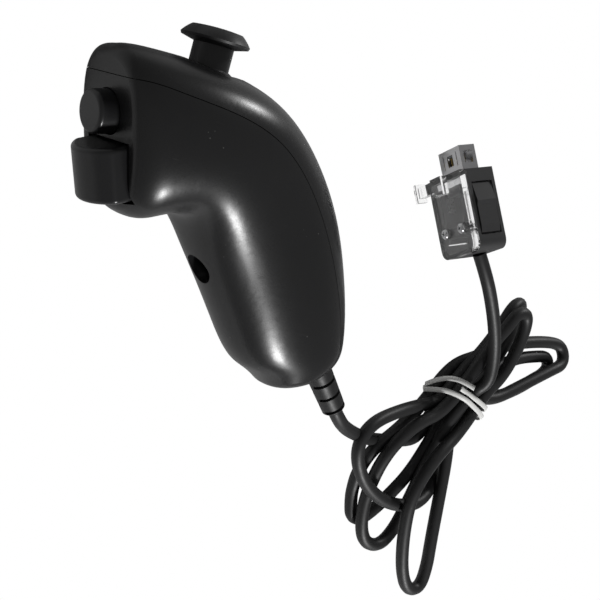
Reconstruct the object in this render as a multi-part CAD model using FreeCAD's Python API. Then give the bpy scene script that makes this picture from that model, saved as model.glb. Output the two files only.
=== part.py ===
"""One-handed motion game controller on its cord.

All sizes are millimetres. The controller is drawn about its thumb stick: the stick's axis is Y,
+X runs rearward to the tail, and Z is sideways with the middle plane at Z = 0. Right at the end
everything is moved so that the controller lies on its right side, with the origin at the bottom
centre of its own box. The cord, its tied hank and its plug lie on the same surface.
"""
import math
import os

import FreeCAD
import Part

V = FreeCAD.Vector

# Housing: overall width, wall and the two moulded shells
body_width = 38.2
wall = 1.8
seam_gap = 0.2
tongue_height = 1.5
tongue_thickness = 0.7
tongue_clearance = 0.1
weld = 0.3                # how far ribs and posts run into the wall that carries them
section_points = 16       # points round each cross-section
side_swell = 0.286        # how far the smooth form swells past its stations on each side
head_round = 3.0          # rounding round the flat front of the head
tail_round = 4.0          # rounding round the tail's end

# Stations from the front of the head to the tail. Each has the back point and the belly point of
# the side outline, how much narrower than the body it is on each side, how deep below the back the
# seam runs, where along the depth it is widest, and how square its cross-section is.
stations = [
    # back x, back y, belly x, belly y, narrower, seam depth, widest at, squareness
    (-29.2, -2.2, -18.2, -38.8, 6.8, 6.0, 0.50, 2.6),
    (-27.4, -0.8, -14.6, -40.2, 4.3, 7.2, 0.50, 2.6),
    (-17.0, 0.3, -8.6, -39.2, 1.4, 8.5, 0.46, 2.6),
    (0.5, 0.2, -1.0, -36.9, 0.0, 9.7, 0.44, 2.6),
    (17.7, -3.0, 4.2, -39.6, 0.4, 10.7, 0.42, 2.5),
    (33.2, -11.7, 9.1, -45.7, 1.8, 10.8, 0.42, 2.4),
    (46.6, -24.8, 15.3, -53.2, 2.9, 10.5, 0.44, 2.3),
    (57.0, -42.2, 24.6, -64.1, 4.0, 8.5, 0.44, 2.3),
    (64.3, -60.7, 34.3, -73.4, 6.1, 6.0, 0.44, 2.3),
    (57.0, -73.8, 45.0, -78.8, 9.8, 6.0, 0.50, 2.2),
]

# Thumb stick: a mushroom cap on a stem, with a round skirt that closes the gate
cap_radius = 8.9
cap_rim_height = 6.4
cap_rim_thickness = 0.6
cap_shoulder_radius = 6.5
cap_shoulder_height = 9.5
cap_dome = 0.4
stem_radius = 5.2
pivot_depth = 10.4
skirt_radius = 11.5
skirt_thickness = 1.0
skirt_half_angle = 74.0
gate_half_width = 9.1
gate_recess = 0.6

# Stick module: tray, cover, two rockers on trunnions, two sensors and a centring spring
module_half = 6.1
module_height_above = 5.3
module_depth_below = 6.4
module_wall = 0.6
trunnion_radius = 1.0
trunnion_clearance = 0.03
rocker_half_width = 1.7
rocker_half_height = 1.4
rocker_window = 1.3
arch_inner = 3.5
arch_outer = 4.7
post_radius = 1.0
post_clearance = 0.3
post_head_radius = 1.5
post_head_clearance = 0.05
cross_pin_radius = 0.45
sensor_thickness = 2.2
sensor_half_length = 3.0
sensor_half_height = 2.5
stick_spring_radius = 2.9
stick_spring_wire = 0.5
stick_spring_turns = 3

# Main board and what stands on it
board_thickness = 1.2
board_front = -12.0
board_rear = 26.0
board_half_width = 13.0
board_post_radius = 2.3
board_post_places = [(-8.6, 11.2), (-8.6, -11.2), (21.0, 11.2), (21.0, -11.2)]
screw_clearance = 0.02
board_screw_radius = 0.9
board_screw_head = 1.6
chip_size = 7.0
chip_height = 1.0
sensor_chip_size = 4.0
socket_length = 5.0
socket_height = 4.2
socket_width = 6.7
crimp_plug_length = 5.0
wire_radius = 0.5
wire_pitch = 1.15
wire_side = 5.8
wire_lead_in = 4.0        # the straight end of each wire behind its crimp plug

# Round button on the front of the head
button_face = (-29.8, -17.9)
button_tilt = 12.5
button_radius = 5.4
button_length = 8.9
button_stem = 3.0         # the pressing stem behind the flange
button_edge = 1.0
button_flange_radius = 6.1
button_flange = 1.0
button_gap = 0.3
dome_gap = 0.3
dome_height = 2.4
dome_radius = 3.4

# Trigger under it, hinged at its top
trigger_centre = (-28.3, -33.2)
trigger_tilt = 22.0
trigger_half_width = 8.8
trigger_bulge = 4.5
trigger_top = 6.9
trigger_bottom = 6.7
trigger_depth = 15.5
trigger_sweep = 2.0       # room behind the trigger's lower edge for its swing
trigger_wall = 1.6
trigger_corner = 2.2
trigger_edge = 1.2
trigger_gap = 0.6
trigger_pivot = (12.3, 4.3)
trigger_press_height = 2.5
trigger_rib_half = 2.0
trigger_spring_wire = 0.4
trigger_spring_turns = 5
trigger_spring_pitch = 0.7
pin_radius = 1.0
pin_clearance = 0.05
ear_gap = 0.5
ear_thickness = 2.0
ear_size = 5.0

# Button board behind both
button_board_tilt = 18.0
button_board_half_width = 9.8
button_board_top = 6.0
button_board_bottom = 20.5
board_slot_clearance = 0.1
board_slot_depth = 1.0
board_guide = 1.4

# Case screw in the belly
recess_centre = (12.9, -50.2)
recess_direction = (0.770, 0.638)
recess_radius = 4.3
recess_wall = 1.2
recess_depth = 5.0
recess_floor = 2.5
case_screw_radius = 1.4
case_screw_head = 2.8
case_screw_head_height = 1.8
case_screw_length = 12.0
case_screw_hole = 1.6
case_post_radius = 3.0

# Strain relief at the tail
relief_exit = (61.3, -70.7)
relief_direction = (0.689, -0.725)
relief_length = 17.6
relief_inside = 3.2
relief_flange = 1.4
relief_flange_radius = 5.0
relief_root_radius = 4.1
relief_tip_radius = 3.5
relief_gap = 0.15
relief_slots = 5
relief_slot_pitch = 2.5
relief_slot_width = 1.0
relief_slot_core = 2.5
relief_first_slot = 5.6

# Cord
cord_diameter = 4.2
table_gap = 0.05
lead_exit_run = 6.0       # straight out of the strain relief
lead_points = [(84.5, -90.6, -2.6), (92.5, -92.3, -8.3), (101.5, -93.2, -13.9), (109.15, -89.15, -16.15)]
tail_start_run = 9.2      # straight on from the hank's end
tail_points = [(128.5, -49.0, 3.0), (119.5, -44.2, 6.6)]
tail_end_run = 9.0        # straight into the plug
cord_entry_offset = 1.0   # how far the cord enters the plug off the sheath's plane

# Hank: passes through the waist in three layers, with a free lobe at each end of every pass
waist_centre = (136.4, -78.7)
strand_gap = 0.55
layer_directions = (42.0, 63.0, 58.1)
waist_straight = 3.0
# the two ends from the waist's centre, with height above their layer, heading and slope
hank_ends = [(-20.4, -7.4, 0.0, 24.0, 0.0), (2.0, 11.5, 1.5, 100.0, 14.0)]
# layer and place across the waist, in half pitches, pass after pass
passes = [(0, 3), (0, -3), (0, -1), (0, 1), (1, 2), (1, 0), (1, -2), (2, -1), (2, 1)]
# angle, where its sides are, reach, half width, lift above its legs, lobe after lobe
lobes = [
    (19.7, 39.6, 56.0, 10.7, 0.0),
    (256.9, 39.9, 51.5, 5.5, 2.1),
    (22.0, 37.8, 43.0, 4.5, 0.0),
    (232.1, 46.0, 50.8, 5.2, 0.0),
    (63.0, 32.8, 37.5, 4.5, 0.0),
    (271.5, 56.0, 63.3, 5.9, 3.3),
    (49.5, 30.4, 41.2, 4.5, 1.1),
    (221.2, 33.1, 43.9, 14.7, 1.8),
]

# Twist tie round the waist
tie_thickness = 0.5
tie_width = 1.9
tie_clearance = 0.3
tie_turns = 2
tie_spacing = 4.6

# Plug
plug_centre = (110.1, -19.3, -4.2)
plug_direction = (-0.202, 0.881, -0.427)
plug_back_normal = (0.936, 0.302, 0.181)
plug_length = 24.8
plug_width = 17.8
plug_back_depth = 5.55
plug_cover_depth = 6.45
plug_wall = 1.4
plug_corner = 3.0
cover_thickness = 2.5
plug_screw_radius = 0.8
plug_screw_head = 1.5
plug_screw_places = [(-4.6, 4.2), (-4.6, -5.0)]
sheath_length = 8.0
sheath_inside = 3.6
sheath_width = 11.8
sheath_thickness = 5.7
sheath_wall = 0.4
contact_block_half_width = 3.3
contact_block_thickness = 1.8
contact_pin_pitch = 1.8
lever_length = 15.6
lever_foot = -7.6
lever_width = 6.6
lever_thickness = 1.6
lever_proud = 0.4
lever_gap = 0.35
hook_thickness = 0.5
hook_width = 2.2
hook_reach = 17.6
hook_proud = 0.9
strap_hook_height = 2.2

half_width = body_width / 2
table = -half_width
cord_radius = cord_diameter / 2


# Small helpers
def save(shape, name):
    """Keep a finished shape under its node name."""
    nodes[name] = shape


def unit(x, y, z=0.0):
    """A vector of length one."""
    v = V(x, y, z)
    v.normalize()
    return v


def frame(origin, along, up):
    """A placement whose X runs along the first direction, its Z near the second."""
    x = V(along)
    x.normalize()
    y = up.cross(x)
    y.normalize()
    z = x.cross(y)
    return FreeCAD.Placement(FreeCAD.Matrix(
        x.x, y.x, z.x, origin.x,
        x.y, y.y, z.y, origin.y,
        x.z, y.z, z.z, origin.z,
        0, 0, 0, 1))


def placed(shape, placement):
    """A copy of a shape drawn in local axes, moved to its place."""
    copy = shape.copy()
    copy.Placement = placement.multiply(copy.Placement)
    return copy


def block(x0, x1, y0, y1, z0, z1):
    """A box between three pairs of planes."""
    return Part.makeBox(x1 - x0, y1 - y0, z1 - z0, V(x0, y0, z0))


def rod(start, direction, length, radius):
    """A cylinder from a point along a direction."""
    return Part.makeCylinder(radius, length, start, direction)


def prism(points, z0, z1):
    """A flat outline in the middle plane, drawn out sideways."""
    corners = [V(x, y, z0) for x, y in points]
    face = Part.Face(Part.makePolygon(corners + corners[:1]))
    return face.extrude(V(0, 0, z1 - z0))


def fuse(first, *others):
    """Join solids into one."""
    return first.multiFuse(list(others))


def cut_all(shape, tools):
    """Take several tools out of a shape."""
    return shape.cut(Part.makeCompound(tools))


def one_solid(shape):
    """The single solid of a boolean result."""
    solids = sorted(shape.Solids, key=lambda s: s.Volume)
    return solids[-1]


def segment(a, b):
    """A straight edge."""
    return Part.LineSegment(a, b).toShape()


def bow(a, middle, b):
    """An arc through three points."""
    return Part.Arc(a, middle, b).toShape()


def biarc(p0, t0, p1, t1):
    """Two arcs that leave a point and reach the next with the given directions."""
    v = p1 - p0
    t = t0 + t1
    k = 2 * (1 - t0.dot(t1))
    vt = v.dot(t)
    if k > 1e-6:
        d = (-vt + math.sqrt(vt * vt + k * v.dot(v))) / k
    else:
        d = v.dot(v) / (4 * v.dot(t1))
    q0 = p0 + t0 * d
    q1 = p1 - t1 * d
    joint = (q0 + q1) * 0.5
    return [arc_edge(p0, q0, joint), arc_edge(joint, q1, p1)]


def arc_edge(start, corner, end):
    """The arc that touches both legs of a corner, or a line if the corner is flat."""
    middle = (start + end) * 0.5
    rise = corner - middle
    half = (end - start).Length / 2
    if rise.Length < half * 1e-3:
        return segment(start, end)
    angle = math.atan2(rise.Length, half)
    rise.normalize()
    return bow(start, middle + rise * (half * math.tan(angle / 2)), end)


def coil(radius, wire, pitch, turns):
    """A round spring about Z, from its foot up, on biarcs of a quarter turn."""
    route = []
    for k in range(4 * turns + 1):
        a = math.pi / 2 * k
        at = V(radius * math.cos(a), radius * math.sin(a), pitch * k / 4)
        route.append((at, unit(-math.sin(a), math.cos(a), pitch / (2 * math.pi * radius))))
    edges = []
    for (p0, t0), (p1, t1) in zip(route, route[1:]):
        edges.extend(biarc(p0, t0, p1, t1))
    ring = Part.Wire([Part.Circle(route[0][0], route[0][1], wire / 2).toShape()])
    return Part.Wire(edges).makePipeShell([ring], True, False)


nodes = {}


# Housing form
def section(station, inset):
    """The closed cross-section of the housing at one station, drawn in by an inset."""
    back_x, back_y, belly_x, belly_y, narrower, _, widest, square = station
    back = V(back_x, back_y, 0)
    belly = V(belly_x, belly_y, 0)
    down = belly - back
    depth = down.Length - 2 * inset
    down.normalize()
    centre = back + down * (inset + widest * depth)
    half = half_width - side_swell - narrower - inset
    points = []
    for i in range(section_points):
        turn = 2 * math.pi * i / section_points
        c = math.cos(turn)
        s = math.sin(turn)
        reach = abs(c) ** (2 / square)
        side = abs(s) ** (2 / square)
        share = -widest if c > 0 else 1 - widest
        points.append(centre + down * (share * depth * reach) + V(0, 0, math.copysign(half * side, s)))
    curve = Part.BSplineCurve()
    curve.interpolate(Points=points, PeriodicFlag=True)
    return Part.Wire([curve.toShape()])


def end_face(end, neighbour):
    """A point on the flat end face at one end station, and the direction into the body."""
    back = V(end[0], end[1], 0)
    belly = V(end[2], end[3], 0)
    inward = unit(back.y - belly.y, belly.x - back.x)
    if (V(neighbour[2], neighbour[3], 0) - belly).dot(inward) < 0:
        inward = inward * -1
    return back, inward


def body_form(inset):
    """The housing's smooth form with rounded ends, smaller by an inset all round."""
    form = Part.makeLoft([section(s, inset) for s in stations], True, False, False, 5)
    for end, neighbour, rounding in ((stations[0], stations[1], head_round),
                                     (stations[-1], stations[-2], tail_round)):
        at, inward = end_face(end, neighbour)
        if inset:
            form = form.cut(placed(block(-20, inset, -60, 60, -30, 30), frame(at, inward, V(0, 0, 1))))
        rim = [e for e in form.Edges
               if max(abs((v - at).dot(inward) - inset) for v in e.discretize(9)) < 0.01]
        form = form.makeFillet(rounding - inset, rim)
    return one_solid(form)


def seam_point(station, lower):
    """A point of the parting line at one station, lower by the given distance."""
    back = V(station[0], station[1], 0)
    down = V(station[2], station[3], 0) - back
    down.normalize()
    return back + down * (station[5] + lower)


def above_seam(lower):
    """Everything on the back side of the parting line, which is set lower by a distance."""
    line = [seam_point(s, lower) for s in stations[:-1]]
    line.append(V(relief_exit[0], relief_exit[1], 0) + V(-0.72, -0.69, 0) * lower)
    start = line[0] + (line[0] - line[1]) * 6
    end = line[-1] + (line[-1] - line[-2]) * 1.5
    curve = Part.BSplineCurve()
    curve.interpolate(Points=[start] + line + [end])
    far = 140.0
    corners = [end, V(far, end.y, 0), V(far, far, 0), V(start.x, far, 0), start]
    edges = [Part.LineSegment(a, b).toShape() for a, b in zip(corners, corners[1:])]
    face = Part.Face(Part.Wire([curve.toShape()] + edges))
    face.translate(V(0, 0, -half_width - 5))
    return face.extrude(V(0, 0, body_width + 10))


outer_form = body_form(0)
inner_form = body_form(wall)
weld_form = body_form(wall - weld)
tongue_form = body_form(wall - tongue_thickness)
groove_form = body_form(wall - tongue_thickness - tongue_clearance)
upper_zone = above_seam(0)
lower_zone = above_seam(seam_gap)
tongue_zone = above_seam(tongue_height)
groove_zone = above_seam(tongue_height + seam_gap)

# Axes and places shared by several pieces
pivot = V(0, -pivot_depth, 0)
board_top = -pivot_depth - module_depth_below
board_bottom = board_top - board_thickness
button_axis = unit(math.cos(math.radians(button_tilt)), math.sin(math.radians(button_tilt)))
button_start = V(button_face[0], button_face[1], 0)
trigger_in = unit(math.cos(math.radians(trigger_tilt)), math.sin(math.radians(trigger_tilt)))
trigger_up = unit(-trigger_in.y, trigger_in.x)
trigger_origin = V(trigger_centre[0], trigger_centre[1], 0)
trigger_frame = frame(trigger_origin, trigger_in, trigger_up)
trigger_pin_at = trigger_origin + trigger_in * trigger_pivot[0] + trigger_up * trigger_pivot[1]
board_in = unit(math.cos(math.radians(button_board_tilt)), math.sin(math.radians(button_board_tilt)))
board_down = unit(board_in.y, -board_in.x)
button_board_at = button_start + button_axis * (button_length + button_stem + dome_gap + dome_height)
screw_in = unit(*recess_direction)
screw_start = V(recess_centre[0], recess_centre[1], 0)
relief_out = unit(*relief_direction)
relief_start = V(relief_exit[0], relief_exit[1], 0)
relief_end = relief_start + relief_out * relief_length


def trigger_outline(grow, rear):
    """The trigger seen from above, in its own axes, larger by a gap."""
    half = trigger_half_width + grow
    front = -grow
    shoulder = trigger_bulge - grow * 0.5
    arc = Part.Arc(V(shoulder, -half, 0), V(front, 0, 0), V(shoulder, half, 0)).toShape()
    corners = [V(shoulder, half, 0), V(rear, half, 0), V(rear, -half, 0), V(shoulder, -half, 0)]
    edges = [Part.LineSegment(a, b).toShape() for a, b in zip(corners, corners[1:])]
    return Part.Wire([arc] + edges)


def trigger_block(grow, bottom, top, rear=trigger_depth):
    """The trigger's outline drawn out to its height."""
    face = Part.Face(trigger_outline(grow, rear))
    face.translate(V(0, 0, -bottom))
    return face.extrude(V(0, 0, top + bottom))


# Shells
def upper_shell():
    """The back half: stick gate, tongue, board posts and the long post for the case screw."""
    shell = outer_form.cut(inner_form).common(upper_zone)
    tongue = tongue_form.cut(inner_form).common(tongue_zone).cut(upper_zone)
    posts = []
    holes = []
    for x, z in board_post_places:
        posts.append(rod(V(x, board_top, z), V(0, 1, 0), 30, board_post_radius))
        holes.append(rod(V(x, board_top, z), V(0, 1, 0), 8, board_screw_radius + screw_clearance))
    long_post_foot = screw_start + screw_in * (recess_depth + recess_floor)
    posts.append(rod(long_post_foot, screw_in, 60, case_post_radius))
    posts = Part.makeCompound(posts).common(weld_form)
    keep_off = block(-60, 100, -100, 20, -30, 30).cut(upper_zone)
    rim = weld_form.cut(inner_form).common(keep_off)
    posts = posts.cut(rim)
    holes.append(rod(long_post_foot, screw_in, case_screw_length, case_screw_radius + screw_clearance))
    gate = Part.makePolygon([
        V(gate_half_width / math.cos(math.pi / 8) * math.cos(math.pi / 4 * k), 5,
          gate_half_width / math.cos(math.pi / 8) * math.sin(math.pi / 4 * k)) for k in range(9)])
    holes.append(Part.Face(gate).extrude(V(0, -12, 0)))
    holes.append(Part.makeCone(gate_half_width + 1.6, gate_half_width + 2.6, 3,
                               V(0, -gate_recess, 0), V(0, 1, 0)))
    holes.append(relief_hole())
    shell = fuse(shell, tongue, *posts.Solids)
    return one_solid(cut_all(shell, holes))


def relief_hole():
    """The hole at the tail that holds the neck of the strain relief."""
    neck = rod(relief_start - relief_out * 8, relief_out, 20, relief_root_radius + relief_gap)
    return neck


def board_guides():
    """Two slotted guides that hold the edges of the button board."""
    depth = board_slot_depth
    reach = button_board_half_width + board_slot_clearance
    guides = []
    for side in (1, -1):
        near = reach - depth
        far = half_width
        at = frame(button_board_at, board_in, board_down)
        low = button_board_bottom - 9.0
        high = button_board_bottom - 1.0
        solid = block(-board_guide, board_thickness + board_guide, min(side * near, side * far),
                      max(side * near, side * far), low, high)
        slot = block(-board_slot_clearance, board_thickness + board_slot_clearance,
                     -reach, reach, low - 1, high + 1)
        guides.append(placed(solid.cut(slot), at))
    return guides


def lower_shell():
    """The belly half: openings for button and trigger, pin ears, board guides and screw well."""
    shell = outer_form.cut(inner_form).cut(lower_zone)
    groove = groove_form.common(groove_zone)
    shell = shell.cut(groove)
    well = rod(screw_start - screw_in * 6, screw_in, 6 + recess_depth + recess_floor,
               recess_radius + recess_wall).common(outer_form)
    ears = []
    for side in (1, -1):
        near = trigger_half_width + ear_gap
        z = sorted((side * near, side * half_width))
        ears.append(block(trigger_pin_at.x - ear_size / 2, trigger_pin_at.x + ear_size / 2,
                          trigger_pin_at.y - ear_size / 2, trigger_pin_at.y + ear_size / 2, *z))
    carried = Part.makeCompound(ears + board_guides()).common(weld_form)
    carried = carried.cut(above_seam(tongue_height + 1.0))
    tools = [rod(button_start - button_axis * 3, button_axis, button_length + 3, button_radius + button_gap)]
    opening = trigger_block(trigger_gap, trigger_bottom + trigger_gap, trigger_top + trigger_gap,
                            trigger_depth + trigger_sweep)
    tools.append(placed(opening, trigger_frame))
    tools.append(rod(screw_start - screw_in * 8, screw_in, 8 + recess_depth, recess_radius))
    tools.append(rod(screw_start, screw_in, 30, case_screw_hole))
    tools.append(relief_hole())
    tools.append(rod(trigger_pin_at - V(0, 0, pin_length / 2), V(0, 0, 1), pin_length,
                     pin_radius + screw_clearance))
    shell = fuse(shell, well, *carried.Solids)
    return one_solid(cut_all(shell, tools))


pin_length = 2 * (trigger_half_width + ear_gap + ear_thickness)
save(upper_shell(), "upper_shell")
save(lower_shell(), "lower_shell")


# Thumb stick
def polar(radius, degrees):
    """A point at an angle from the stick axis, about the pivot."""
    a = math.radians(degrees)
    return V(radius * math.sin(a), -pivot_depth + radius * math.cos(a), 0)


def revolve_y(edges):
    """Turn a half outline about the stick axis."""
    face = Part.Face(Part.Wire(edges))
    return face.revolve(V(0, 0, 0), V(0, 1, 0), 360)


def thumbstick():
    """Cap, stem and skirt, turned in one piece, with a bore for the post."""
    skirt_inner = skirt_radius - skirt_thickness
    stem_angle = math.degrees(math.asin(stem_radius / skirt_radius))
    bore = post_head_radius + post_head_clearance
    bore_angle = math.degrees(math.asin(bore / skirt_inner))
    bore_top = cap_rim_height - 2.2
    rim_top = cap_rim_height + cap_rim_thickness
    top = V(0, cap_shoulder_height + cap_dome, 0)
    shoulder = V(cap_shoulder_radius, cap_shoulder_height, 0)
    outline = [top, shoulder]
    slope = V((cap_shoulder_radius + cap_radius) / 2 - 0.15, (cap_shoulder_height + rim_top) / 2 + 0.35, 0)
    edges = [
        bow(top, V(cap_shoulder_radius / 2, cap_shoulder_height + cap_dome * 0.78, 0), shoulder),
        bow(shoulder, slope, V(cap_radius, rim_top, 0)),
        segment(V(cap_radius, rim_top, 0), V(cap_radius - 0.25, cap_rim_height, 0)),
        segment(V(cap_radius - 0.25, cap_rim_height, 0), V(stem_radius, cap_rim_height - 0.9, 0)),
        segment(V(stem_radius, cap_rim_height - 0.9, 0), polar(skirt_radius, stem_angle)),
        bow(polar(skirt_radius, stem_angle), polar(skirt_radius, 50), polar(skirt_radius, skirt_half_angle)),
        segment(polar(skirt_radius, skirt_half_angle), polar(skirt_inner, skirt_half_angle)),
        bow(polar(skirt_inner, skirt_half_angle), polar(skirt_inner, 40), polar(skirt_inner, bore_angle)),
        segment(polar(skirt_inner, bore_angle), V(bore, bore_top, 0)),
        segment(V(bore, bore_top, 0), V(0, bore_top, 0)),
        segment(V(0, bore_top, 0), outline[0]),
    ]
    return revolve_y(edges)


def stick_post():
    """The module's post: a pinned foot below, a slim neck and a thick head in the stick's bore."""
    head_foot = -pivot_depth + module_height_above + 0.6
    head_top = cap_rim_height - 2.3
    neck = rod(pivot - V(0, 2.6, 0), V(0, 1, 0), head_foot + pivot_depth + 2.6, post_radius)
    head = rod(V(0, head_foot, 0), V(0, 1, 0), head_top - head_foot, post_head_radius)
    hole = rod(pivot - V(5, 0, 0), V(1, 0, 0), 10, cross_pin_radius + trunnion_clearance)
    return neck.fuse(head).removeSplitter().cut(hole)


def stick_module():
    """Tray, cover, rockers, cross pin, sensors and spring, all about the pivot."""
    a = module_half
    b = module_half - module_wall
    top = module_height_above
    low = module_depth_below
    seats = [rod(V(0, 0, -a - 4), V(0, 0, 1), 2 * a + 8, trunnion_radius + trunnion_clearance),
             rod(V(-a - 4, 0, 0), V(1, 0, 0), 2 * a + 8, trunnion_radius + trunnion_clearance)]
    base = block(-a, a, -low, 0, -a, a).cut(block(-b, b, -low + module_wall, 1, -b, b))
    base = cut_all(base, seats)
    cover = block(-a, a, 0, top, -a, a).cut(block(-b, b, -1, top - module_wall, -b, b))
    cover = cut_all(cover, seats + [rod(V(0, 0, 0), V(0, 1, 0), top + 1, arch_outer - 0.3)])
    w = rocker_half_width
    h = rocker_half_height
    long = b - 0.3
    window = block(-rocker_window, rocker_window, -h - 1, h + 1, -2.6, 2.6)
    pin_hole = rod(V(-w - 1, 0, 0), V(1, 0, 0), 2 * w + 2, cross_pin_radius + screw_clearance)
    lower = block(-w, w, -h, h, -long, long).cut(window).cut(pin_hole)
    lower = fuse(lower, rod(V(0, 0, -a), V(0, 0, 1), a - long + 0.5, trunnion_radius),
                 rod(V(0, 0, long - 0.5), V(0, 0, 1), a + sensor_thickness - 0.3 - long + 0.5, trunnion_radius))
    arch = Part.makeCylinder(arch_outer, 2 * w, V(0, 0, -w)).cut(Part.makeCylinder(arch_inner, 2 * w, V(0, 0, -w)))
    arch = arch.common(block(-6, 6, -trunnion_radius, 6, -w, w))
    slot = post_radius + post_clearance
    arch = arch.cut(block(-2.9, 2.9, 1, 6, -slot, slot))
    upper = fuse(arch, rod(V(arch_inner + 0.3, 0, 0), V(1, 0, 0), a - arch_inner - 0.3, trunnion_radius),
                 rod(V(-a - sensor_thickness + 0.3, 0, 0), V(1, 0, 0),
                     a + sensor_thickness - 0.3 - arch_inner - 0.3, trunnion_radius))
    cross_pin = rod(V(-w, 0, 0), V(1, 0, 0), 2 * w, cross_pin_radius)
    body = block(-sensor_half_length, sensor_half_length, -sensor_half_height, sensor_half_height,
                 a, a + sensor_thickness)
    sensor = body.cut(seats[0])
    sensor_x = placed(body, FreeCAD.Placement(V(0, 0, 0), FreeCAD.Rotation(V(0, 1, 0), -90))).cut(seats[1])
    spring_height = low - module_wall - h - 1.4 - stick_spring_wire - 0.1
    pitch = spring_height / stick_spring_turns
    spring = coil(stick_spring_radius, stick_spring_wire, pitch, stick_spring_turns)
    spring = placed(spring, FreeCAD.Placement(V(0, -low + module_wall + stick_spring_wire / 2 + 0.05, 0),
                                              FreeCAD.Rotation(V(1, 0, 0), -90)))
    move = FreeCAD.Placement(pivot, FreeCAD.Rotation())
    save(placed(base, move), "stick_module_base")
    save(placed(cover, move), "stick_module_cover")
    save(placed(lower, move), "stick_lower_rocker")
    save(placed(upper, move), "stick_upper_rocker")
    save(placed(cross_pin, move), "stick_cross_pin")
    save(placed(sensor, move), "stick_sensor_sideways")
    save(placed(sensor_x, move), "stick_sensor_lengthways")
    save(placed(spring, move), "stick_spring")


save(thumbstick(), "thumbstick")
save(stick_post(), "stick_post")
stick_module()


# Main board with its chips, socket and screws
def main_board():
    """The board under the stick module, with holes over the four posts."""
    board = block(board_front, board_rear, board_bottom, board_top, -board_half_width, board_half_width)
    holes = [rod(V(x, board_bottom - 1, z), V(0, 1, 0), board_thickness + 2, board_screw_radius + 0.2)
             for x, z in board_post_places]
    return cut_all(board, holes)


def board_screws():
    """Four pan screws from below, one node of separate solids."""
    screws = []
    for x, z in board_post_places:
        head = rod(V(x, board_bottom, z), V(0, -1, 0), 1.2, board_screw_head)
        shank = rod(V(x, board_bottom, z), V(0, 1, 0), board_thickness + 6, board_screw_radius)
        screws.append(head.fuse(shank).removeSplitter())
    return Part.makeCompound(screws)


def cable_socket():
    """The socket on the underside where the cord's inner wires plug in."""
    rear = board_rear - 0.5
    y0 = board_bottom - socket_height
    body = block(rear - socket_length, rear, y0, board_bottom,
                 wire_side - socket_width / 2, wire_side + socket_width / 2)
    return body.cut(block(rear - socket_length + 1.2, rear + 1, y0 + 0.8, board_bottom - 0.8,
                          wire_side - socket_width / 2 + 0.8, wire_side + socket_width / 2 - 0.8))


def cable_crimp_plug():
    """The small plug on the ends of the inner wires."""
    rear = board_rear - 0.5
    y0 = board_bottom - socket_height
    gap = 0.85
    return block(rear - socket_length + 1.25, rear + crimp_plug_length - 3, y0 + gap, board_bottom - gap,
                 wire_side - socket_width / 2 + gap, wire_side + socket_width / 2 - gap)


def bent_tube(points, radius, corner):
    """A round tube along straight runs with an arc at each corner."""
    edges = []
    start = points[0]
    for before, at, after in zip(points, points[1:], points[2:]):
        a = (before - at).normalize()
        b = (after - at).normalize()
        half = a.getAngle(b) / 2
        back = corner / math.tan(half)
        first = at + a * back
        last = at + b * back
        inward = (a + b).normalize()
        middle = at + inward * (corner / math.sin(half) - corner)
        edges.append(segment(start, first))
        edges.append(bow(first, middle, last))
        start = last
    edges.append(segment(start, points[-1]))
    path = Part.Wire(edges)
    ring = Part.Wire([Part.Circle(points[0], points[1] - points[0], radius).toShape()])
    return path.makePipeShell([ring], True, False)


def inner_wires():
    """Four wires from the strain relief up the handle to the crimp plug."""
    wires = []
    foot = relief_start - relief_out * (relief_inside + relief_flange + wire_radius * 0.4)
    rear = board_rear - 0.5 + crimp_plug_length - 3
    height = board_bottom - socket_height / 2
    for k in range(4):
        side = (k - 1.5) * wire_pitch
        points = [foot + V(0, 0, side * 0.95), V(51.5, -52.0, wire_side * 0.6 + side),
                  V(43.0, -31.0, wire_side + side), V(rear + wire_lead_in, height, wire_side + side),
                  V(rear, height, wire_side + side)]
        wires.append(bent_tube(points, wire_radius, 4.0))
    return Part.makeCompound(wires)


save(main_board(), "main_board")
save(board_screws(), "board_screws")
save(block(9, 9 + chip_size, board_bottom - chip_height, board_bottom, -chip_size, 0), "controller_chip")
save(block(-4, -4 + sensor_chip_size, board_bottom - chip_height, board_bottom,
           -sensor_chip_size / 2, sensor_chip_size / 2), "motion_sensor_chip")
save(cable_socket(), "cable_socket")
save(cable_crimp_plug(), "cable_crimp_plug")
save(inner_wires(), "inner_wires")


# Round button, its dome, the button board and the trigger
def round_button():
    """A round pusher with a soft edge and a flange that keeps it in the shell."""
    face = Part.makeCylinder(button_radius, button_length, V(0, 0, 0), V(0, 0, 1))
    face = face.makeFillet(button_edge, [e for e in face.Edges if e.BoundBox.ZMax < 0.01])
    flange = Part.makeCylinder(button_flange_radius, button_flange, V(0, 0, button_length - button_flange))
    button = face.fuse(flange).removeSplitter()
    hollow = Part.makeCylinder(button_radius - 1.4, 4.0, V(0, 0, button_length - 4.0))
    core = Part.makeCylinder(dome_radius - 1.0, 4.1 + button_stem, V(0, 0, button_length - 4.1))
    button = fuse(button.cut(hollow), core)
    return placed(button, FreeCAD.Placement(button_start, FreeCAD.Rotation(V(0, 0, 1), button_axis)))


def rubber_dome(at, axis):
    """A soft dome that stands on the button board and reaches out against the axis."""
    cone = Part.makeCone(dome_radius, dome_radius - 1.0, dome_height, at, axis * -1)
    return cone.cut(Part.makeCone(dome_radius - 0.8, dome_radius - 1.9, dome_height - 1.0, at, axis * -1))


def on_button_board(point, direction):
    """Where a line meets the front of the button board."""
    gap = (button_board_at - point).dot(board_in) / direction.dot(board_in)
    return point + direction * gap


def button_board():
    """The board that carries both domes."""
    board = block(0, board_thickness, -button_board_half_width, button_board_half_width,
                  -button_board_top, button_board_bottom)
    return placed(board, frame(button_board_at, board_in, board_down))


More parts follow.
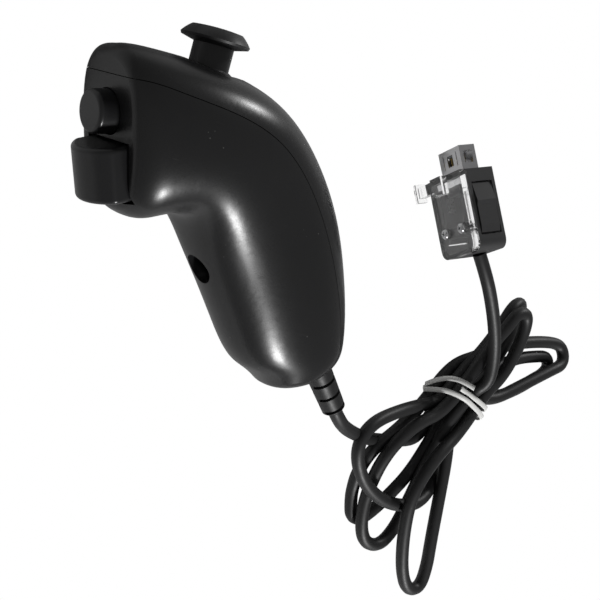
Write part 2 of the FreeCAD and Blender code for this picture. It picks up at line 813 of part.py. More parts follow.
spring_mean_radius = pin_radius + 0.15 + trigger_spring_wire / 2
trigger_dome_at = on_button_board(trigger_origin - trigger_up * trigger_press_height, trigger_in)
trigger_rib_reach = (trigger_dome_at - trigger_origin).dot(trigger_in) - dome_height - dome_gap - 0.25


def trigger():
    """The hollow trigger with its pressing rib and the bore for its pin."""
    solid = trigger_block(0, trigger_bottom, trigger_top)
    sides = [e for e in solid.Edges if abs(e.tangentAt(e.FirstParameter).z) > 0.9
             and abs(e.Vertexes[0].X - trigger_bulge) < 0.1]
    solid = solid.makeFillet(trigger_corner, sides)
    rims = [e for e in solid.Edges if e.BoundBox.ZLength < 0.01 and e.BoundBox.XMin < trigger_depth - 0.5]
    solid = solid.makeFillet(trigger_edge, rims)
    inside = trigger_block(-trigger_wall, trigger_bottom - trigger_wall, trigger_top - trigger_wall)
    solid = solid.cut(inside)
    middle = -trigger_press_height
    rib = block(trigger_wall * 0.5, trigger_rib_reach, -trigger_rib_half, trigger_rib_half,
                middle - 1.4, middle + 1.4)
    across = block(trigger_rib_reach - 2.6, trigger_rib_reach, -trigger_half_width + 0.8,
                   trigger_half_width - 0.8, middle - 1.4, middle + 1.4)
    solid = fuse(solid, rib, across)
    bore = rod(V(trigger_pivot[0], -20, trigger_pivot[1]), V(0, 1, 0), 40, pin_radius + pin_clearance)
    room = trigger_spring_pitch * trigger_spring_turns / 2 + trigger_spring_wire
    pocket = rod(V(trigger_pivot[0], -room, trigger_pivot[1]), V(0, 1, 0), 2 * room,
                 spring_mean_radius + trigger_spring_wire / 2 + 0.25)
    return placed(cut_all(solid, [bore, pocket]), trigger_frame)


def torsion_spring():
    """The small coil round the pin that swings the trigger out again."""
    spring = coil(spring_mean_radius, trigger_spring_wire, trigger_spring_pitch, trigger_spring_turns)
    spring.translate(trigger_pin_at - V(0, 0, trigger_spring_pitch * trigger_spring_turns / 2))
    return spring


save(round_button(), "round_button")
save(rubber_dome(on_button_board(button_start, button_axis), board_in), "round_button_dome")
save(button_board(), "button_board")
save(trigger(), "trigger")
save(rubber_dome(trigger_dome_at, board_in), "trigger_dome")
save(rod(trigger_pin_at - V(0, 0, pin_length / 2), V(0, 0, 1), pin_length, pin_radius), "trigger_pin")
save(torsion_spring(), "trigger_spring")


# Case screw and strain relief
def case_screw():
    """The long screw from the belly into the back shell's post."""
    seat = screw_start + screw_in * recess_depth
    head = rod(seat, screw_in * -1, case_screw_head_height, case_screw_head)
    shank = rod(seat, screw_in, recess_floor + case_screw_length - 1.5, case_screw_radius)
    slot = rod(seat - screw_in * (case_screw_head_height + 0.1), screw_in, 1.0, 0.9)
    return head.fuse(shank).removeSplitter().cut(slot)


def strain_relief():
    """A tapered sleeve with half slots on alternate sides, held by a flange inside the shells."""
    total = relief_length + relief_inside + relief_flange
    profile = [V(0, 0, 0), V(relief_flange_radius, 0, 0), V(relief_flange_radius, 0, relief_flange),
               V(relief_root_radius, 0, relief_flange), V(relief_tip_radius, 0, total - 0.8),
               V(relief_tip_radius - 0.7, 0, total), V(0, 0, total)]
    sleeve = Part.Face(Part.makePolygon(profile + profile[:1])).revolve(V(0, 0, 0), V(0, 0, 1), 360)
    slots = []
    for k in range(relief_slots):
        height = relief_flange + relief_inside + relief_first_slot + k * relief_slot_pitch
        side = 1 if k % 2 else -1
        ring = Part.makeCylinder(6, relief_slot_width, V(0, 0, height))
        ring = ring.cut(Part.makeCylinder(relief_slot_core, relief_slot_width, V(0, 0, height)))
        half = block(*sorted((side * 0.5, side * 7)), -7, 7, height, height + relief_slot_width)
        slots.append(ring.common(half))
    sleeve = cut_all(sleeve, slots)
    foot = relief_start - relief_out * (relief_inside + relief_flange)
    return placed(sleeve, frame(foot, relief_out, V(0, 0, 1)).multiply(
        FreeCAD.Placement(V(0, 0, 0), FreeCAD.Rotation(V(0, 1, 0), 90))))


save(case_screw(), "case_screw")
save(strain_relief(), "strain_relief")


# Plug, drawn along its own length: X to the nose, Y to one narrow side, Z to the face without cover
plug_frame = frame(V(*plug_centre), V(*plug_direction), V(*plug_back_normal))
plug_rear = plug_frame.multVec(V(-plug_length / 2, 0, cord_entry_offset))
plug_rear_inner = plug_frame.multVec(V(-plug_length / 2 - tail_end_run, 0, cord_entry_offset))
cover_face = -plug_cover_depth
back_face = plug_back_depth


def rounded_block(length, width, z0, z1, corner):
    """A block with the two rear corners rounded."""
    body = block(-length / 2, length / 2, -width / 2, width / 2, z0, z1)
    rear = [e for e in body.Edges if e.BoundBox.ZLength > 0.5 and e.BoundBox.XMax < 0]
    return body.makeFillet(corner, rear)


def lever_window(side, grow):
    """The opening in a narrow side where a squeeze lever sits."""
    half = lever_width / 2 + grow
    inner = plug_width / 2 - plug_wall - 2.5
    y = sorted((side * inner, side * (plug_width / 2 + 2)))
    return block(lever_foot - grow, lever_foot + lever_length + grow, *y, -half + 0.8, half + 0.8)


def plug_housing():
    """The dark box of the plug, open on the cover's side."""
    front = cover_face + cover_thickness
    body = rounded_block(plug_length, plug_width, front, back_face, plug_corner)
    inside = rounded_block(plug_length - 2 * plug_wall, plug_width - 2 * plug_wall,
                           front - 1, back_face - plug_wall, plug_corner - plug_wall)
    tools = [inside]
    for side in (1, -1):
        tools.append(lever_window(side, lever_gap))
    tools.append(block(plug_length / 2 - plug_wall - 1, plug_length / 2 + 1, -sheath_width / 2,
                       sheath_width / 2, -sheath_thickness / 2, sheath_thickness / 2))
    body = cut_all(body, tools)
    bosses = []
    holes = []
    for x, y in plug_screw_places:
        bosses.append(rod(V(x, y, front), V(0, 0, 1), back_face - plug_wall - front + 0.2, 1.7))
        holes.append(rod(V(x, y, front - 1), V(0, 0, 1), 6, plug_screw_radius + screw_clearance))
    return cut_all(fuse(body, *bosses), holes)


def plug_cover():
    """The clear cover with the strap hook that reaches past one side."""
    plate = rounded_block(plug_length, plug_width, cover_face, cover_face + cover_thickness, plug_corner)
    top = cover_face - strap_hook_height
    root = block(6.8, 12.4, -4.5, 1.5, top, cover_face + 0.1)
    neck = block(8.3, 11.7, -12.2, -4.0, top, cover_face)
    bar = block(7.1, 12.9, -13.4, -12.0, top - 0.6, cover_face + 0.6)
    holes = [rod(V(x, y, cover_face - 1), V(0, 0, 1), 4, plug_screw_radius + 0.1)
             for x, y in plug_screw_places]
    seats = [rod(V(x, y, cover_face - 1), V(0, 0, 1), 1.4, plug_screw_head + 0.15)
             for x, y in plug_screw_places]
    return cut_all(fuse(plate, root, neck, bar), holes + seats)


def plug_screws():
    """Two bright screws with domed heads, one node of separate solids."""
    screws = []
    for x, y in plug_screw_places:
        seat = cover_face + 0.4
        head = Part.makeSphere(plug_screw_head * 1.12, V(x, y, seat + 0.45))
        head = head.common(rod(V(x, y, seat), V(0, 0, -1), 3, plug_screw_head))
        shank = rod(V(x, y, seat), V(0, 0, 1), 5, plug_screw_radius)
        screws.append(one_solid(head.fuse(shank).removeSplitter()))
    return Part.makeCompound(screws)


def plug_sheath():
    """The bent metal sheath round the contacts, with its windows."""
    x0 = plug_length / 2 - sheath_inside
    x1 = plug_length / 2 + sheath_length
    w = sheath_width / 2
    t = sheath_thickness / 2
    k = sheath_wall
    tube = block(x0, x1, -w + 0.05, w - 0.05, -t + 0.05, t - 0.05)
    tube = tube.cut(block(x0 - 1, x1 + 1, -w + 0.05 + k, w - 0.05 - k, -t + 0.05 + k, t - 0.05 - k))
    mid = plug_length / 2 + sheath_length * 0.55
    windows = [block(mid - 1.9, mid + 1.9, -w - 1, w + 1, -1.5, 1.5),
               block(mid - 1.7, mid + 1.7, -1.5, 1.5, -t - 1, t + 1)]
    for y in (-3.6, 3.6):
        windows.append(block(mid - 2.2, mid + 2.2, y - 0.2, y + 0.2, -t - 1, 0))
    return cut_all(tube, windows)


def contact_block():
    """The plastic tongue that carries the contacts, with the foot that holds the sheath."""
    x0 = plug_length / 2 - sheath_inside - 3.0
    x1 = plug_length / 2 + sheath_length - 2.0
    w = contact_block_half_width
    tongue = block(x0, x1, -w, w, -contact_block_thickness / 2, contact_block_thickness / 2)
    inner = sheath_thickness / 2 - sheath_wall - 0.1
    foot = block(x0, plug_length / 2 - 0.6, -w, w, -inner, inner)
    return fuse(tongue, foot)


def contact_pins():
    """Six flat contacts in two rows, one node of separate solids."""
    pins = []
    half = contact_block_thickness / 2
    for k in range(3):
        y = (k - 1) * contact_pin_pitch
        for side in (1, -1):
            z = sorted((side * half, side * (half + 0.25)))
            pins.append(block(plug_length / 2 - 0.55, plug_length / 2 + sheath_length - 2.4,
                              y - 0.4, y + 0.4, *z))
    return Part.makeCompound(pins)


def squeeze_lever(side):
    """One squeeze lever in its window, with a raised thumb ridge, hinged at its rear end."""
    y0 = plug_width / 2 - lever_thickness
    y1 = plug_width / 2 + lever_proud
    foot = lever_foot + lever_thickness / 2
    outline = [(foot, y0), (lever_foot + lever_length, y0), (lever_foot + lever_length, y1 - 0.9),
               (lever_foot + lever_length * 0.72, y1 + 0.2), (lever_foot + lever_length * 0.64, y1 + 0.5),
               (lever_foot + lever_length * 0.56, y1), (lever_foot + 2.5, y1), (foot, y1 - lever_proud)]
    solid = prism(outline, -lever_width / 2 + 0.8, lever_width / 2 + 0.8)
    solid = fuse(solid, rod(V(foot, y0 + lever_thickness / 2, -lever_width / 2 + 0.8), V(0, 0, 1), lever_width,
                            lever_thickness / 2))
    if side < 0:
        solid = placed(solid, FreeCAD.Placement(V(0, 0, 1.6), FreeCAD.Rotation(V(1, 0, 0), 180)))
    return solid


def latch_hook(side):
    """The thin metal hook that a lever carries, reaching through the sheath to its window."""
    outer = plug_width / 2 - lever_thickness
    inner = sheath_width / 2 - sheath_wall - 0.35
    t = hook_thickness
    bend = plug_length / 2 - sheath_inside - 0.6
    mid = plug_length / 2 + sheath_length * 0.55
    outline = [(2.0, outer), (bend - 2.6, outer), (bend, inner), (mid - 1.2, inner),
               (mid + 0.6, inner + hook_proud + 0.35), (mid + 1.3, inner + hook_proud + 0.35),
               (mid + 1.5, inner), (hook_reach, inner - 0.2), (hook_reach, inner - 0.2 - t),
               (mid, inner - t), (bend, inner - t), (bend - 2.8, outer - t), (2.0, outer - t)]
    solid = prism(outline, -hook_width / 2 + 0.3, hook_width / 2 + 0.3)
    if side < 0:
        solid = placed(solid, FreeCAD.Placement(V(0, 0, 0.6), FreeCAD.Rotation(V(1, 0, 0), 180)))
    return solid


for name, shape in (
        ("plug_housing", plug_housing()), ("plug_cover", plug_cover()), ("plug_screws", plug_screws()),
        ("plug_sheath", plug_sheath()), ("contact_block", contact_block()),
        ("contact_pins", contact_pins()), ("squeeze_lever_upper", squeeze_lever(1)),
        ("squeeze_lever_lower", squeeze_lever(-1)), ("latch_hook_upper", latch_hook(1)),
        ("latch_hook_lower", latch_hook(-1))):
    save(placed(shape, plug_frame), name)


# Cord: free stretches as straight runs with tangent arcs
def cord_tube(points, name):
    """A tube along hand-chosen points, each arc as large as its two runs allow."""
    edges = []
    radii = []
    start = points[0]
    for before, at, after in zip(points, points[1:], points[2:]):
        a = before - at
        b = after - at
        shorter = min(a.Length, b.Length)
        a.normalize()
        b.normalize()
        half_turn = (math.pi - a.getAngle(b)) / 2
        back = 0.45 * shorter
        radius = back / math.tan(half_turn)
        radii.append(round(radius, 1))
        first = at + a * back
        last = at + b * back
        inward = (a + b).normalize()
        middle = at + inward * (radius / math.cos(half_turn) - radius)
        edges.append(segment(start, first))
        edges.append(bow(first, middle, last))
        start = last
    edges.append(segment(start, points[-1]))
    path = Part.Wire(edges)
    ring = Part.Wire([Part.Circle(points[0], points[1] - points[0], cord_radius).toShape()])
    tube = path.makePipeShell([ring], True, False)
    ideal = math.pi * cord_radius ** 2 * path.Length
    print(name, "radii", radii, "length", round(path.Length, 1), "volume ratio", round(tube.Volume / ideal, 4))
    return tube


# Hank: biarcs through the nodes of its passes and lobes
strand_pitch = cord_diameter + strand_gap
lowest_layer = table + table_gap + tie_thickness + tie_clearance + cord_radius
layer_heights = [lowest_layer + k * strand_pitch for k in range(3)]


def pass_node(index, along):
    """Where a pass crosses the waist, its travel direction, and a straight bit either way."""
    layer, place = passes[index]
    angle = math.radians(layer_directions[layer])
    ahead = V(math.cos(angle), math.sin(angle), 0)
    left = V(-ahead.y, ahead.x, 0)
    centre = V(waist_centre[0], waist_centre[1], layer_heights[layer]) + left * (place * strand_pitch / 2)
    travel = ahead if index % 2 == 0 else ahead * -1
    return centre + travel * along, travel


def lobe_nodes(index):
    """Side, tip and side of one lobe, with travel directions."""
    degrees, side_reach, reach, half, lift = lobes[index]
    angle = math.radians(degrees)
    out = V(math.cos(angle), math.sin(angle), 0)
    left = V(-out.y, out.x, 0)
    first = pass_node(index, 0)[0]
    last = pass_node(index + 1, 0)[0]
    centre = V(waist_centre[0], waist_centre[1], 0)
    turn = 1 if (last - first).dot(left) > 0 else -1
    z0 = first.z + lift
    z1 = last.z + lift
    return [(centre + out * side_reach - left * (half * turn) + V(0, 0, z0), out),
            (centre + out * reach + V(0, 0, (z0 + z1) / 2), left * turn),
            (centre + out * side_reach + left * (half * turn) + V(0, 0, z1), out * -1)]


def hank_end_node(index, layer):
    """One end of the hank: its point and travel direction."""
    x, y, lift, heading, slope = hank_ends[index]
    a = math.radians(heading)
    b = math.radians(slope)
    at = V(waist_centre[0] + x, waist_centre[1] + y, layer_heights[layer] + lift)
    return at, V(math.cos(a) * math.cos(b), math.sin(a) * math.cos(b), math.sin(b))


def hank_nodes():
    """Every node of the hank in order, from the lead's end to the tail's start."""
    first, ahead = hank_end_node(0, passes[0][0])
    route = [(first, ahead), (first + ahead * cord_diameter, ahead)]
    for k in range(len(passes)):
        for along in (-waist_straight, waist_straight):
            route.append(pass_node(k, along))
        if k < len(lobes):
            route.extend(lobe_nodes(k))
    last, ahead = hank_end_node(1, passes[-1][0])
    route.extend([(last, ahead), (last + ahead * cord_diameter, ahead)])
    return route


def hank_path():
    """The hank's centre line as one wire of lines and arcs."""
    route = hank_nodes()
    edges = []
    for (p0, t0), (p1, t1) in zip(route, route[1:]):
        straight = (p1 - p0).normalize()
        if straight.dot(t0) > 0.999999 and straight.dot(t1) > 0.999999:
            edges.append(segment(p0, p1))
        else:
            edges.extend(biarc(p0, t0, p1, t1))
    return edges


def least_gap(edges):
    """The least gap of the hank to itself, on points, and its tightest arc."""
    points = []
    travelled = []
    length = 0.0
    tightest = 1e9
    for edge in edges:
        steps = max(2, int(edge.Length / 1.2))
        for k in range(steps):
            a = edge.FirstParameter + (edge.LastParameter - edge.FirstParameter) * k / steps
            points.append(edge.valueAt(a))
            travelled.append(length + edge.Length * k / steps)
        length += edge.Length
        if hasattr(edge.Curve, "Radius"):
            tightest = min(tightest, edge.Curve.Radius)
    worst = (1e9, None, None)
    for i, p in enumerate(points):
        for j in range(i + 1, len(points)):
            if travelled[j] - travelled[i] > 4 * cord_diameter:
                d = (points[j] - p).Length
                if d < worst[0]:
                    worst = (d, travelled[i], travelled[j])
    return worst, tightest, length


hank_edges = hank_path()
gap, tightest, hank_length = least_gap(hank_edges)
print("hank length", round(hank_length, 1), "tightest arc", round(tightest, 2),
      "least self gap", round(gap[0] - cord_diameter, 2), "at", round(gap[1]), round(gap[2]))
hank_wire = Part.Wire(hank_edges)
route = hank_nodes()
hank_start = route[0]
hank_end = route[-1]
ring = Part.Wire([Part.Circle(hank_start[0], hank_start[1], cord_radius).toShape()])
save(hank_wire.makePipeShell([ring], True, False), "cable_hank")

lead_route = [relief_end, relief_end + relief_out * lead_exit_run] + [V(*p) for p in lead_points]
lead_route.append(hank_start[0])
tail_route = [hank_end[0], hank_end[0] + hank_end[1] * tail_start_run] + [V(*p) for p in tail_points]
tail_route.extend([plug_rear_inner, plug_rear])
save(cord_tube(lead_route, "lead"), "cable_lead")
save(cord_tube(tail_route, "tail"), "cable_tail")


# Twist tie: a flat strip wound twice round the waist
def tie_loop(shift, half, rise, middle):
    """One turn of the strip, a flat oval round all the passes."""
    angle = math.radians(layer_directions[2])
    ahead = V(math.cos(angle), math.sin(angle), 0)
    left = V(-ahead.y, ahead.x, 0)
    c = V(waist_centre[0], waist_centre[1], middle) + ahead * shift
    up = V(0, 0, 1)
    shapes = []
    for grow in (0, tie_thickness):
        h = half + grow
        r = rise + grow
        a = [c + left * (h - r) - up * r, c + left * h, c + left * (h - r) + up * r,
             c - left * (h - r) + up * r, c - left * h, c - left * (h - r) - up * r]
        edges = [bow(a[0], a[1], a[2]), segment(a[2], a[3]), bow(a[3], a[4], a[5]), segment(a[5], a[0])]
        face = Part.Face(Part.Wire(edges))
        face.translate(ahead * (-tie_width / 2))
        shapes.append(face.extrude(ahead * tie_width))
    return shapes[1].cut(shapes[0])


def twist_tie():
    """Two turns of the strip joined by a short bridge at one side."""
    low = table + table_gap + tie_thickness
    high = layer_heights[2] + cord_radius + tie_clearance
    half = 2.9 * strand_pitch
    rise = (high - low) / 2
    loops = [tie_loop((k - 0.5) * tie_spacing, half, rise, (low + high) / 2) for k in range(tie_turns)]
    angle = math.radians(layer_directions[2])
    ahead = V(math.cos(angle), math.sin(angle), 0)
    left = V(-ahead.y, ahead.x, 0)
    centre = V(waist_centre[0], waist_centre[1], high) - left * (half - rise - 1)
    bridge = Part.Face(Part.makePolygon([
        centre - ahead * tie_spacing / 2 - left, centre + ahead * tie_spacing / 2 - left,
        centre + ahead * tie_spacing / 2 + left, centre - ahead * tie_spacing / 2 + left,
        centre - ahead * tie_spacing / 2 - left])).extrude(V(0, 0, tie_thickness))
    return fuse(loops[0], loops[1], bridge)


save(twist_tie(), "twist_tie")

# Move the controller to lie on its right side, origin at the bottom centre of its own box
cord_nodes = ["cable_lead", "cable_hank", "cable_tail", "twist_tie", "plug_housing", "plug_cover",
              "plug_screws", "plug_sheath", "contact_block", "contact_pins", "squeeze_lever_upper",
              "squeeze_lever_lower", "latch_hook_upper", "latch_hook_lower"]
own = FreeCAD.BoundBox()
for name, shape in nodes.items():
    if name not in cord_nodes:
        own.add(shape.BoundBox)
origin = V(own.Center.x, own.Center.y, own.ZMin)
print("origin shift", origin, "own box", own)

os.makedirs("parts", exist_ok=True)
for name, shape in nodes.items():
    shape.translate(origin * -1)
    valid = shape.isValid()
    print(name, "solids", len(shape.Solids), "volume", round(shape.Volume, 1), "" if valid else "NOT VALID")
    shape.exportStep("parts/" + name + ".step")
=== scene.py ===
# %% [markdown]
# # One-handed motion controller
# The imported model is the frame: every solid arrives in its place.
# This script gives each solid its finish and lays the cord as the photograph shows it. It adds the
# tie, the plug's screw heads and the two rubber domes, and then sets the floor and the light.

# %% The frame
import math

import bmesh
import bpy
from mathutils import Matrix, Vector


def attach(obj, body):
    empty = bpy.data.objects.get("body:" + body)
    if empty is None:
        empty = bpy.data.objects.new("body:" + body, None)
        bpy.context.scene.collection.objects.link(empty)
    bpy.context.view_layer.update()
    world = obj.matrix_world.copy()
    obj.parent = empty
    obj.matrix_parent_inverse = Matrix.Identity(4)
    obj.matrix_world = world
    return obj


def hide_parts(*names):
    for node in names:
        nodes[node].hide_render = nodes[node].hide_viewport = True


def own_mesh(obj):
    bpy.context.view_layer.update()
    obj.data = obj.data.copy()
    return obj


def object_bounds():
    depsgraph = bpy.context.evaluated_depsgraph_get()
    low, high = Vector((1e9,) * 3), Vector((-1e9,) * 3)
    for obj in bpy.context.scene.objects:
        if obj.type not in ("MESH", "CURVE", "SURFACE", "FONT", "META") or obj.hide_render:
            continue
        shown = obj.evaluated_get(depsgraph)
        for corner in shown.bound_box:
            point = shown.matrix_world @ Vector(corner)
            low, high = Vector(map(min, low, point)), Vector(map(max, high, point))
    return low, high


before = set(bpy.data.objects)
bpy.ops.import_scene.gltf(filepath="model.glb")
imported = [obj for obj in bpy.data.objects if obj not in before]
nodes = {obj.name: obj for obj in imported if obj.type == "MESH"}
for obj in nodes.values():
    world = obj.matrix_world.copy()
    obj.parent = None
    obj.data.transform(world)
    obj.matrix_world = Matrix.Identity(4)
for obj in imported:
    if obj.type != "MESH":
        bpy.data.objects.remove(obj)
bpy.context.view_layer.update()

# %% [markdown]
# ## Measures
# Every measure was taken in millimetres from one point on the thumb stick's axis: the foot of its
# stem, 10.4 mm above where the stick turns. Blender works in the row's frame, in metres, with its
# origin under the middle of the controller. Each point could be converted by hand, but one small
# function does it, so the numbers below stay the ones that were measured.

# %% Measures
ROW_ORIGIN = Vector((22.113, -37.7427, -19.1027))
MM = 0.001


def at(x, y, z):
    """A point measured from the stick's foot in mm, in the row frame in metres."""
    return (Vector((x, y, z)) - ROW_ORIGIN) / 1000


print("the stick's foot is at", [round(value, 4) for value in at(0, 0, 0)])

# %% [markdown]
# ## Camera
# The camera was found by fitting the round parts and the long edges of the photograph. A camera
# could be aimed with a tracking constraint, but a fitted view also has a roll about its own axis.
# So its three directions go into its matrix as they are.

# %% Camera
CAMERA_PLACE = (-199.734, -12.560, 283.811)
LENS_LENGTH = 82.54
camera_right = Vector((0.74345, 0.26233, 0.61520))
camera_up = Vector((-0.12948, 0.95892, -0.25242))
camera_back = camera_right.cross(camera_up)
lens = bpy.data.cameras.new("camera")
lens.sensor_width = 36
lens.lens = LENS_LENGTH
lens.clip_start = 0.01
lens.clip_end = 20
lens.dof.use_dof = False
camera = bpy.data.objects.new("camera", lens)
bpy.context.scene.collection.objects.link(camera)
view = Matrix((camera_right, camera_up, camera_back)).transposed().to_4x4()
view.translation = at(*CAMERA_PLACE)
camera.matrix_world = view
bpy.context.scene.camera = camera
print("camera looks along", [round(-value, 3) for value in camera_back])

# %% [markdown]
# ## Cord
# One cord runs from the strain relief through the tied hank to the plug. Its points were set one by
# one over the photograph, loop after loop, at the height where each strand lies. A loop is named
# for where it reaches from the tie, and a pass is the short stretch under the tie between two
# loops.
# These are the turns that lie lowest in the hank.

# %% Cord route, lower turns
lead = [(73.42, -83.46, 0.0), (76.7, -86.5, -0.4), (82.8, -89.6, -3.0), (93.8, -92.8, -8.2),
        (106.0, -95.4, -14.4), (117.6, -96.0, -17.0), (129.9, -94.8, -17.0)]
pass_one = [(132.2, -83.2, -16.4), (139.6, -71.3, -16.4)]
inner_right_loop = [(158.2, -66.8, -17.0), (167.1, -62.9, -17.0), (177.8, -61.1, -17.0),
                    (182.0, -60.9, -17.0), (184.4, -64.2, -17.0), (182.4, -67.2, -17.0),
                    (178.4, -69.4, -17.0), (171.7, -73.5, -17.0), (161.6, -77.8, -17.0)]
pass_two = [(142.8, -75.6, -16.4), (136.5, -85.8, -16.4)]
ring = [(142.8, -94.9, -16.6), (141.0, -103.9, -14.6), (132.4, -113.5, -9.6),
        (120.6, -114.8, -7.8), (108.7, -112.2, -7.0), (98.0, -105.5, -6.2), (91.6, -95.8, -5.2),
        (95.4, -87.9, -5.6), (109.3, -83.7, -8.6), (123.3, -81.3, -11.6)]
pass_three = [(129.3, -80.2, -12.0), (136.2, -69.2, -12.0)]
back_top_loop = [(142.4, -62.2, -12.0), (148.0, -51.7, -11.4), (149.7, -45.3, -10.6),
                 (155.2, -43.2, -12.4), (159.0, -47.6, -14.9), (154.4, -56.3, -12.8),
                 (150.1, -65.8, -12.4)]
pass_four = [(141.1, -72.2, -12.0), (133.7, -84.1, -12.1)]
back_left_loop = [(131.3, -94.4, -13.2), (129.3, -106.3, -16.0), (123.5, -114.7, -17.0),
                  (118.6, -119.6, -17.0), (113.9, -123.0, -17.0), (109.7, -121.9, -17.0),
                  (107.9, -117.4, -17.0), (106.7, -113.2, -16.8), (105.2, -106.4, -15.2),
                  (106.6, -98.0, -12.9), (115.4, -90.7, -12.7)]
lower_turns = (lead + pass_one + inner_right_loop + pass_two + ring + pass_three
               + back_top_loop + pass_four + back_left_loop)
print("lower turns:", len(lower_turns), "points")

# %% [markdown]
# The next turns lie on those. The last loop crosses over the others, and the tail rises from the
# tie to the plug, which lies tilted on the floor.

# %% Cord route, upper turns
pass_five = [(126.8, -82.2, -16.2), (135.0, -68.4, -16.4)]
outer_right_loop = [(147.9, -63.9, -16.9), (161.0, -58.5, -16.9), (176.0, -55.9, -16.8),
                    (185.2, -55.4, -16.0), (187.8, -58.4, -14.8), (187.0, -62.3, -13.4),
                    (180.5, -64.8, -12.6), (168.0, -71.1, -12.4), (155.2, -77.7, -12.4)]
pass_six = [(144.8, -76.9, -12.1), (137.4, -88.8, -12.1)]
long_loop = [(138.4, -97.3, -10.4), (138.3, -110.5, -8.6), (138.1, -125.4, -6.6),
             (138.6, -134.6, -5.6), (137.4, -141.6, -5.2), (131.2, -141.9, -4.9),
             (125.4, -134.1, -4.5), (121.0, -120.4, -4.0), (119.4, -108.4, -3.3),
             (125.4, -96.4, -3.4)]
pass_seven = [(136.6, -88.2, -6.4), (144.9, -74.6, -7.8)]
front_top_loop = [(150.9, -68.7, -8.0), (154.0, -59.6, -7.6), (154.8, -51.2, -7.2),
                  (152.9, -46.1, -6.6), (147.8, -46.5, -6.4), (145.3, -52.0, -6.8),
                  (141.0, -57.9, -7.2)]
pass_eight = [(136.0, -69.0, -7.7), (127.4, -82.5, -7.6)]
front_left_loop = [(117.4, -87.3, -8.0), (108.9, -97.7, -9.0), (108.2, -112.1, -11.9),
                   (110.3, -123.2, -12.5), (114.5, -129.2, -12.6), (121.4, -130.1, -12.8),
                   (126.8, -125.0, -13.6), (129.8, -117.2, -14.0), (130.3, -105.2, -12.0),
                   (131.1, -95.0, -9.8)]
pass_nine = [(131.9, -85.3, -8.4), (138.8, -74.3, -7.4)]
tail = [(140.6, -70.1, -3.8), (138.3, -62.3, -2.4), (133.5, -54.0, -0.8), (126.6, -45.4, 1.0),
        (118.2, -36.6, 2.9), (113.54, -29.93, 1.28)]
upper_turns = (pass_five + outer_right_loop + pass_six + long_loop + pass_seven
               + front_top_loop + pass_eight + front_left_loop + pass_nine + tail)
print("upper turns:", len(upper_turns), "points")

# %% [markdown]
# ## The cord's tube
# A cord could be a swept mesh or a curve with a round bevel. The curve is easier to correct: one
# point moves and the whole bend follows. A NURBS line of order 3 passes near its points and has no
# kinks. The order is set after the points are there, because before that it falls back to 2.
# The bevel's depth is 1 and each point's radius is the cord's own, because Blender adds the points'
# radius to a curve's box, and the default radius of 1 would make that box two metres wide.

# %% Cord
CORD_DIAMETER = 0.0042


def link_to_scene(obj):
    """Puts an object into the scene's own collection."""
    bpy.context.scene.collection.objects.link(obj)
    return obj


def spline_curve(name, points, radius):
    """A curve object whose smooth line follows points measured from the stick's foot."""
    data = bpy.data.curves.new(name, "CURVE")
    data.dimensions = "3D"
    data.bevel_depth = 1.0
    data.bevel_resolution = 5
    data.resolution_u = 10
    data.use_fill_caps = True
    spline = data.splines.new("NURBS")
    spline.points.add(len(points) - 1)
    for point, (x, y, z) in zip(spline.points, points):
        point.co = (*at(x, y, z), 1)
        point.radius = radius
    spline.order_u = 3
    spline.use_endpoint_u = True
    spline.use_smooth = True
    return link_to_scene(bpy.data.objects.new(name, data))


cord = spline_curve("cord", lower_turns + upper_turns, CORD_DIAMETER / 2)
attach(cord, "controller")
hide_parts("cable_lead", "cable_hank", "cable_tail")
print("cord:", round(cord.data.splines[0].calc_length() / MM), "mm long")

# %% [markdown]
# ## Finishes
# A moulded part is never one flat colour. Each finish here is a small node graph that reads object
# coordinates, so the pattern sticks to the piece. A slow noise changes the colour a little, and a
# fine one changes the roughness and drives the bump. An image could do the same, but noise needs no
# file and has no seams. The helper below adds a node and sets its sockets or settings by name.

# %% Node helper
def node_maker(tree):
    """A function that adds a node to a tree. An underscore stands for a space in a socket."""
    def node(kind, **values):
        made = tree.nodes.new(kind)
        for key, value in values.items():
            socket = key.replace("_", " ")
            if socket in made.inputs:
                made.inputs[socket].default_value = value
            else:
                setattr(made, key, value)
        return made
    return node


print("node helper: ready")

# %% [markdown]
# ## Dust
# The black shell in the photograph has small pale specks of dust. They could be loose particles,
# but they are far too small for that. Here the middle of each Voronoi cell is a speck, and a
# slower noise lets only a few patches of them through.

# %% Dust
DUST_COLOUR = (0.35, 0.35, 0.34, 1)
DUST_CELLS = 420.0
DUST_PATCHES = 70.0


def add_dust(node, link, place, colour, strength):
    """Lays patches of pale specks over a colour and returns the new colour."""
    specks = node("ShaderNodeTexVoronoi", Scale=DUST_CELLS, feature="F1")
    near = node("ShaderNodeMapRange", From_Min=0.05, From_Max=0.09, To_Min=1.0, To_Max=0.0)
    patches = node("ShaderNodeTexNoise", Scale=DUST_PATCHES, Detail=2.0)
    where = node("ShaderNodeMapRange", From_Min=0.58, From_Max=0.72)
    shown = node("ShaderNodeMath", operation="MULTIPLY")
    weak = node("ShaderNodeMath", operation="MULTIPLY")
    weak.inputs[1].default_value = strength
    mix = node("ShaderNodeMix", data_type="RGBA")
    mix.inputs[7].default_value = DUST_COLOUR
    link(place, specks.inputs["Vector"])
    link(place, patches.inputs["Vector"])
    link(specks.outputs["Distance"], near.inputs["Value"])
    link(patches.outputs["Fac"], where.inputs["Value"])
    link(near.outputs["Result"], shown.inputs[0])
    link(where.outputs["Result"], shown.inputs[1])
    link(shown.outputs["Value"], weak.inputs[0])
    link(weak.outputs["Value"], mix.inputs[0])
    link(colour, mix.inputs[6])
    return mix.outputs[2]


print("dust: one speck in each", round(1000 / DUST_CELLS, 1), "mm, in patches")

